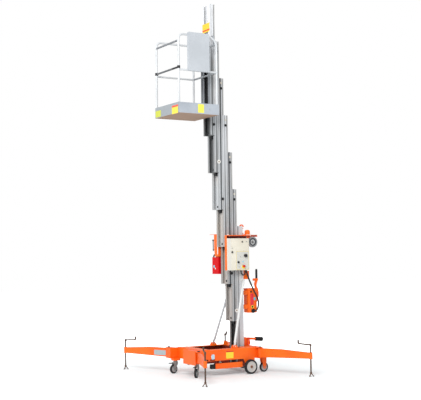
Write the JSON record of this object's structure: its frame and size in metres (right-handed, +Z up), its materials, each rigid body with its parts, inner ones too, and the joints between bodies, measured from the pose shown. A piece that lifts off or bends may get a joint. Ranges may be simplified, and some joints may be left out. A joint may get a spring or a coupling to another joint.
{
  "type": "vertical mast lift",
  "caption": "Push-around personnel lift: telescoping aluminium mast with a railed cage platform on a wheeled steel base with swing-out outriggers and screw jacks.",
  "frame": {"origin": "on the floor under the middle of the four screw jacks' footprint", "axes": "+Z up, -Y the front (platform side), +X to the right seen from the front"},
  "size_m": [2.3952, 1.7548, 5.216],
  "materials": {
    "orange": "gloss paint, slightly scuffed",
    "aluminium": "mill finish extrusion",
    "zinc": "zinc plated",
    "screw": "lightly rusted steel",
    "tyre": "solid rubber on a light rim",
    "guide": "black nylon",
    "white_paint": "white paint",
    "cream": "satin powder coat",
    "knob": "moulded plastic",
    "red_box": "moulded housing",
    "cover": "moulded cover",
    "grey_cage": "satin tube",
    "floor": "tread plate",
    "panel": "flat panel",
    "black_hose": "rubber hose",
    "load_roller": "grey nylon"
  },
  "bodies": {
    "base": {"base_frame": "orange", "tail_forks": "orange", "mast_1": "aluminium", "braces": "white_paint", "mast_yoke": "orange", "control_box": "cream", "control_knobs": "knob", "charger_box": "red_box", "power_unit": "cover", "tow_handle": "orange", "beacon": "cover", "hoses": "black_hose"},
    "caster_swivel_l": {"caster_fork_l": "zinc"},
    "caster_swivel_r": {"caster_fork_r": "zinc"},
    "caster_roll_l": {"caster_wheel_l": "tyre"},
    "caster_roll_r": {"caster_wheel_r": "tyre"},
    "main_roll_l": {"main_wheel_l": "tyre"},
    "main_roll_r": {"main_wheel_r": "tyre"},
    "tail_roll_l": {"tail_wheel_l": "tyre"},
    "tail_roll_r": {"tail_wheel_r": "tyre"},
    "load_roll": {"loading_wheels": "load_roller"},
    "outrigger_front_l": {"arm_front_l": "orange"},
    "screw_jack_front_l": {"jack_front_l": "screw"},
    "outrigger_front_r": {"arm_front_r": "orange"},
    "screw_jack_front_r": {"jack_front_r": "screw"},
    "outrigger_rear_l": {"arm_rear_l": "orange"},
    "screw_jack_rear_l": {"jack_rear_l": "screw"},
    "outrigger_rear_r": {"arm_rear_r": "orange"},
    "screw_jack_rear_r": {"jack_rear_r": "screw"},
    "section_2": {"mast_2": "aluminium", "guides_2": "guide"},
    "section_3": {"mast_3": "aluminium", "guides_3": "guide"},
    "section_4": {"mast_4": "aluminium", "guides_4": "guide"},
    "section_5": {"mast_5": "aluminium", "guides_5": "guide"},
    "section_6": {"mast_6": "aluminium", "guides_6": "guide"},
    "section_7": {"mast_7": "aluminium", "guides_7": "guide", "platform_floor": "floor", "cage": "grey_cage", "cage_panel": "panel"},
    "gate": {"gate_bar": "grey_cage"}
  },
  "joints": [
    {"name": "caster_l_swivel", "type": "hinge", "parent": "base", "child": "caster_swivel_l", "pos_m": [-0.305, -0.471, 0.17], "axis": [0, 0, 1], "continuous": true},
    {"name": "caster_l_spin", "type": "hinge", "parent": "caster_swivel_l", "child": "caster_roll_l", "pos_m": [-0.29793, -0.50426, 0.0625], "axis": [0.9781, 0.2079, 0], "continuous": true},
    {"name": "main_l_spin", "type": "hinge", "parent": "base", "child": "main_roll_l", "pos_m": [-0.389, 0.343, 0.1], "axis": [1, 0, 0], "continuous": true},
    {"name": "tail_l_spin", "type": "hinge", "parent": "base", "child": "tail_roll_l", "pos_m": [-0.277, 0.631, 0.0675], "axis": [1, 0, 0], "continuous": true},
    {"name": "caster_r_swivel", "type": "hinge", "parent": "base", "child": "caster_swivel_r", "pos_m": [0.305, -0.471, 0.17], "axis": [0, 0, 1], "continuous": true},
    {"name": "caster_r_spin", "type": "hinge", "parent": "caster_swivel_r", "child": "caster_roll_r", "pos_m": [0.32775, -0.49627, 0.0625], "axis": [0.7431, 0.6691, 0], "continuous": true},
    {"name": "main_r_spin", "type": "hinge", "parent": "base", "child": "main_roll_r", "pos_m": [0.389, 0.343, 0.1], "axis": [1, 0, 0], "continuous": true},
    {"name": "tail_r_spin", "type": "hinge", "parent": "base", "child": "tail_roll_r", "pos_m": [0.277, 0.631, 0.0675], "axis": [1, 0, 0], "continuous": true},
    {"name": "load_spin", "type": "hinge", "parent": "base", "child": "load_roll", "pos_m": [0, 0.583, 1.833], "axis": [1, 0, 0], "continuous": true},
    {"name": "outrigger_front_l_swing", "type": "hinge", "parent": "base", "child": "outrigger_front_l", "pos_m": [-0.425, -0.512, 0.285], "axis": [0, 0, 1], "range_deg": [-110, 0]},
    {"name": "jack_front_l_screw", "type": "slide", "parent": "outrigger_front_l", "child": "screw_jack_front_l", "axis": [0, 0, 1], "range_m": [-0.04, 0.15]},
    {"name": "outrigger_front_r_swing", "type": "hinge", "parent": "base", "child": "outrigger_front_r", "pos_m": [0.425, -0.512, 0.285], "axis": [0, 0, 1], "range_deg": [0, 110]},
    {"name": "jack_front_r_screw", "type": "slide", "parent": "outrigger_front_r", "child": "screw_jack_front_r", "axis": [0, 0, 1], "range_m": [-0.04, 0.15]},
    {"name": "outrigger_rear_l_swing", "type": "hinge", "parent": "base", "child": "outrigger_rear_l", "pos_m": [-0.388, 0.498, 0.285], "axis": [0, 0, 1], "range_deg": [0, 115.5]},
    {"name": "jack_rear_l_screw", "type": "slide", "parent": "outrigger_rear_l", "child": "screw_jack_rear_l", "axis": [0, 0, 1], "range_m": [-0.04, 0.15]},
    {"name": "outrigger_rear_r_swing", "type": "hinge", "parent": "base", "child": "outrigger_rear_r", "pos_m": [0.388, 0.498, 0.285], "axis": [0, 0, 1], "range_deg": [-115.5, 0]},
    {"name": "jack_rear_r_screw", "type": "slide", "parent": "outrigger_rear_r", "child": "screw_jack_rear_r", "axis": [0, 0, 1], "range_m": [-0.04, 0.15]},
    {"name": "mast_2_slide", "type": "slide", "parent": "base", "child": "section_2", "axis": [0, 0, 1], "range_m": [-0.526, 0.77]},
    {"name": "mast_3_slide", "type": "slide", "parent": "section_2", "child": "section_3", "axis": [0, 0, 1], "range_m": [-0.526, 0.77]},
    {"name": "mast_4_slide", "type": "slide", "parent": "section_3", "child": "section_4", "axis": [0, 0, 1], "range_m": [-0.526, 0.77]},
    {"name": "mast_5_slide", "type": "slide", "parent": "section_4", "child": "section_5", "axis": [0, 0, 1], "range_m": [-0.526, 0.77]},
    {"name": "mast_6_slide", "type": "slide", "parent": "section_5", "child": "section_6", "axis": [0, 0, 1], "range_m": [-0.526, 0.77]},
    {"name": "mast_7_slide", "type": "slide", "parent": "section_6", "child": "section_7", "axis": [0, 0, 1], "range_m": [-0.526, 0.77]},
    {"name": "gate_lift", "type": "slide", "parent": "section_7", "child": "gate", "axis": [0, 0, 1], "range_m": [0, 0.33]}
  ],
  "couplings": [
    {"joint": "mast_3_slide", "follows": "mast_2_slide", "ratio": 1},
    {"joint": "mast_4_slide", "follows": "mast_2_slide", "ratio": 1},
    {"joint": "mast_5_slide", "follows": "mast_2_slide", "ratio": 1},
    {"joint": "mast_6_slide", "follows": "mast_2_slide", "ratio": 1},
    {"joint": "mast_7_slide", "follows": "mast_2_slide", "ratio": 1}
  ]
}
